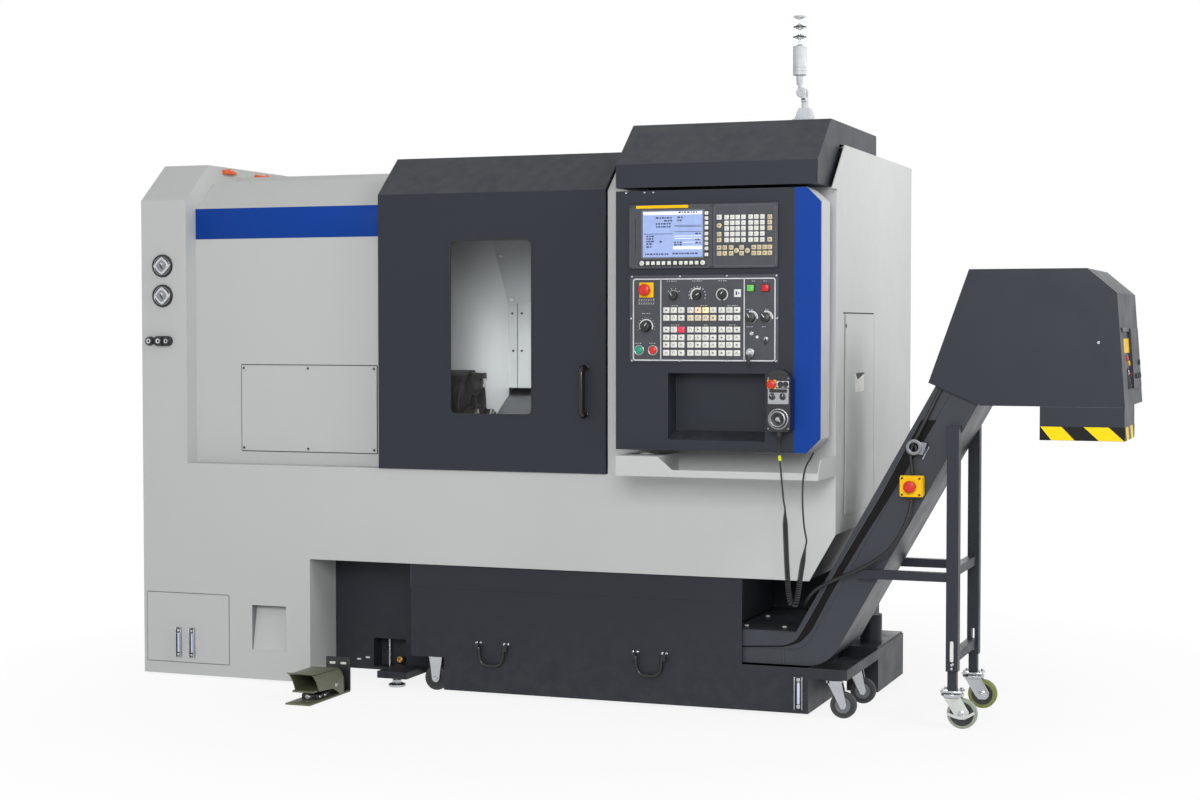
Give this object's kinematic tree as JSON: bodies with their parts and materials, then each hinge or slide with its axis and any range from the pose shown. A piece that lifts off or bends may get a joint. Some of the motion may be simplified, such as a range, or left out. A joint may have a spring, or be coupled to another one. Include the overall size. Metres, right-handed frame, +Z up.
{
  "type": "cnc turning lathe",
  "caption": "Slant-bed CNC turning lathe in a sheet-metal enclosure with a sliding windowed door, swivelling control console, wheeled coolant tank and inclined chip conveyor.",
  "frame": {"origin": "middle of the footprint of the machine, its conveyor and its foot switch, on the floor", "axes": "+X along the spindle from the headstock to the conveyor, +Y from the operator to the back, +Z up"},
  "size_m": [3.6784, 1.627, 2.393],
  "materials": {
    "light_paint": "satin textured powder coat",
    "slate_paint": "satin textured powder coat",
    "dark_paint": "satin paint",
    "blue_paint": "satin paint",
    "bright_steel": "ground steel",
    "cast_iron": "machined and painted casting",
    "black_plastic": "fine grain",
    "cord_rubber": "smooth",
    "tyre_rubber": "dull",
    "window_glass": "clear laminated",
    "red_plastic": "gloss",
    "green_plastic": "gloss",
    "yellow_paint": "satin",
    "olive_paint": "hammered paint"
  },
  "bodies": {
    "machine": {"front_cover": "light_paint", "fixed_front_panel": "light_paint", "access_plate": "light_paint", "rear_cover": "light_paint", "right_cover": "light_paint", "side_door": "light_paint", "chamber_lining": "light_paint", "console_tray": "light_paint", "console_hood": "slate_paint", "conveyor_trough": "slate_paint", "conveyor_hood": "slate_paint", "conveyor_stand": "slate_paint", "base_casting": "dark_paint", "coolant_tank": "dark_paint", "levelling_feet": "bright_steel", "conveyor_belt": "bright_steel", "signal_tower_base": "bright_steel", "gauges": "bright_steel", "slant_bed": "cast_iron", "headstock": "cast_iron", "conveyor_cable": "cord_rubber", "estop_box": "yellow_paint", "foot_switch": "olive_paint"},
    "door": {"door_panel": "slate_paint", "door_window": "window_glass", "door_handle": "black_plastic"},
    "console": {"console_housing": "slate_paint", "blue_side_panel": "blue_paint", "control_unit": "black_plastic", "operator_panel": "dark_paint", "pendant_body": "black_plastic", "pendant_cord": "cord_rubber", "pendant_coil": "cord_rubber"},
    "spindle": {"chuck": "bright_steel"},
    "carriage": {"carriage": "cast_iron"},
    "cross_slide": {"cross_slide": "cast_iron"},
    "turret": {"turret_disc": "bright_steel"},
    "tailstock": {"tailstock": "cast_iron"},
    "tower_head": {"signal_tower_head": "bright_steel"},
    "estop_button": {"estop_button": "red_plastic"},
    "cycle_start_button": {"cycle_start_button": "green_plastic"},
    "feed_hold_button": {"feed_hold_button": "red_plastic"},
    "feed_override_knob": {"feed_override_knob": "black_plastic"},
    "pendant_wheel": {"pendant_wheel": "bright_steel"},
    "jaw_1": {"jaw_1": "cast_iron"},
    "jaw_2": {"jaw_2": "cast_iron"},
    "jaw_3": {"jaw_3": "cast_iron"},
    "tank_handle_left": {"tank_handle_left": "black_plastic"},
    "tank_handle_right": {"tank_handle_right": "black_plastic"},
    "tank_wheel_left": {"tank_wheel_left": "tyre_rubber"},
    "tank_caster_front_fork": {"tank_caster_front_fork": "bright_steel"},
    "tank_caster_front_wheel": {"tank_caster_front_wheel": "tyre_rubber"},
    "tank_caster_rear_fork": {"tank_caster_rear_fork": "bright_steel"},
    "tank_caster_rear_wheel": {"tank_caster_rear_wheel": "tyre_rubber"},
    "stand_caster_front_fork": {"stand_caster_front_fork": "bright_steel"},
    "stand_caster_front_wheel": {"stand_caster_front_wheel": "tyre_rubber"},
    "stand_caster_rear_fork": {"stand_caster_rear_fork": "bright_steel"},
    "stand_caster_rear_wheel": {"stand_caster_rear_wheel": "tyre_rubber"},
    "estop_box_button": {"estop_box_button": "red_plastic"},
    "foot_pedal": {"foot_pedal": "olive_paint"}
  },
  "joints": [
    {"name": "door_slide", "type": "slide", "parent": "machine", "child": "door", "axis": [-1, 0, 0], "range_m": [0, 0.7]},
    {"name": "console_swivel", "type": "hinge", "parent": "machine", "child": "console", "pos_m": [0.24578, -0.5335, 0.917], "axis": [0, 0, -1], "range_deg": [0, 75]},
    {"name": "estop_press", "type": "slide", "parent": "console", "child": "estop_button", "axis": [0, 1, 0], "range_m": [0, 0.005], "stiffness_N_per_m": 600},
    {"name": "cycle_start_press", "type": "slide", "parent": "console", "child": "cycle_start_button", "axis": [0, 1, 0], "range_m": [0, 0.004], "stiffness_N_per_m": 500},
    {"name": "feed_hold_press", "type": "slide", "parent": "console", "child": "feed_hold_button", "axis": [0, 1, 0], "range_m": [0, 0.004], "stiffness_N_per_m": 500},
    {"name": "feed_override_turn", "type": "hinge", "parent": "console", "child": "feed_override_knob", "pos_m": [0.26781, -0.6235, 1.33672], "axis": [0, -1, 0], "range_deg": [-135, 135]},
    {"name": "pendant_wheel_turn", "type": "hinge", "parent": "console", "child": "pendant_wheel", "pos_m": [0.74678, -0.6785, 1.032], "axis": [0, -1, 0], "continuous": true},
    {"name": "spindle_spin", "type": "hinge", "parent": "machine", "child": "spindle", "pos_m": [-0.61922, -0.0485, 1.045], "axis": [1, 0, 0], "continuous": true},
    {"name": "jaw_1_slide", "type": "slide", "parent": "spindle", "child": "jaw_1", "axis": [0, 0, 1], "range_m": [-0.008, 0.008]},
    {"name": "jaw_2_slide", "type": "slide", "parent": "spindle", "child": "jaw_2", "axis": [0, -0.866, -0.5], "range_m": [-0.008, 0.008]},
    {"name": "jaw_3_slide", "type": "slide", "parent": "spindle", "child": "jaw_3", "axis": [0, 0.866, -0.5], "range_m": [-0.008, 0.008]},
    {"name": "z_axis", "type": "slide", "parent": "machine", "child": "carriage", "axis": [1, 0, 0], "range_m": [-0.3, 0]},
    {"name": "x_axis", "type": "slide", "parent": "carriage", "child": "cross_slide", "axis": [0, -0.866, -0.5], "range_m": [0, 0.15]},
    {"name": "turret_index", "type": "hinge", "parent": "cross_slide", "child": "turret", "pos_m": [-0.18922, 0.25461, 1.22], "axis": [-1, 0, 0], "continuous": true},
    {"name": "tailstock_slide", "type": "slide", "parent": "machine", "child": "tailstock", "axis": [1, 0, 0], "range_m": [-0.15, 0]},
    {"name": "tower_fold", "type": "hinge", "parent": "machine", "child": "tower_head", "pos_m": [0.74478, -0.3635, 2.132], "axis": [0, -1, 0], "range_deg": [0, 90]},
    {"name": "tank_handle_left_swing", "type": "hinge", "parent": "machine", "child": "tank_handle_left", "pos_m": [-0.38822, -0.4225, 0.178], "axis": [-1, 0, 0], "range_deg": [0, 100]},
    {"name": "tank_handle_right_swing", "type": "hinge", "parent": "machine", "child": "tank_handle_right", "pos_m": [0.21278, -0.4225, 0.178], "axis": [-1, 0, 0], "range_deg": [0, 100]},
    {"name": "tank_wheel_left_spin", "type": "hinge", "parent": "machine", "child": "tank_wheel_left", "pos_m": [-0.63322, -0.3515, 0.045], "axis": [0, 1, 0], "continuous": true},
    {"name": "tank_caster_front_swivel", "type": "hinge", "parent": "machine", "child": "tank_caster_front_fork", "pos_m": [0.86678, -0.3705, 0.13], "axis": [0, 0, 1], "continuous": true},
    {"name": "tank_caster_front_spin", "type": "hinge", "parent": "tank_caster_front_fork", "child": "tank_caster_front_wheel", "pos_m": [0.89878, -0.3705, 0.045], "axis": [0, 1, 0], "continuous": true},
    {"name": "tank_caster_rear_swivel", "type": "hinge", "parent": "machine", "child": "tank_caster_rear_fork", "pos_m": [0.86678, -0.0735, 0.13], "axis": [0, 0, 1], "continuous": true},
    {"name": "tank_caster_rear_spin", "type": "hinge", "parent": "tank_caster_rear_fork", "child": "tank_caster_rear_wheel", "pos_m": [0.89878, -0.0735, 0.045], "axis": [0, 1, 0], "continuous": true},
    {"name": "stand_caster_front_swivel", "type": "hinge", "parent": "machine", "child": "stand_caster_front_fork", "pos_m": [1.27878, -0.4115, 0.12], "axis": [0, 0, 1], "continuous": true},
    {"name": "stand_caster_front_spin", "type": "hinge", "parent": "stand_caster_front_fork", "child": "stand_caster_front_wheel", "pos_m": [1.31178, -0.4115, 0.05], "axis": [0, 1, 0], "continuous": true},
    {"name": "stand_caster_rear_swivel", "type": "hinge", "parent": "machine", "child": "stand_caster_rear_fork", "pos_m": [1.27878, -0.0155, 0.12], "axis": [0, 0, 1], "continuous": true},
    {"name": "stand_caster_rear_spin", "type": "hinge", "parent": "stand_caster_rear_fork", "child": "stand_caster_rear_wheel", "pos_m": [1.31178, -0.0155, 0.05], "axis": [0, 1, 0], "continuous": true},
    {"name": "estop_box_press", "type": "slide", "parent": "machine", "child": "estop_box_button", "axis": [0, 1, 0], "range_m": [0, 0.005], "stiffness_N_per_m": 600},
    {"name": "foot_pedal_press", "type": "hinge", "parent": "machine", "child": "foot_pedal", "pos_m": [-0.96222, -0.6135, 0.046], "axis": [1, 0, 0], "range_deg": [0, 9], "stiffness_Nm_per_rad": 10, "springref_deg": -11.46}
  ],
  "couplings": [
    {"joint": "jaw_2_slide", "follows": "jaw_1_slide", "ratio": 1},
    {"joint": "jaw_3_slide", "follows": "jaw_1_slide", "ratio": 1}
  ]
}
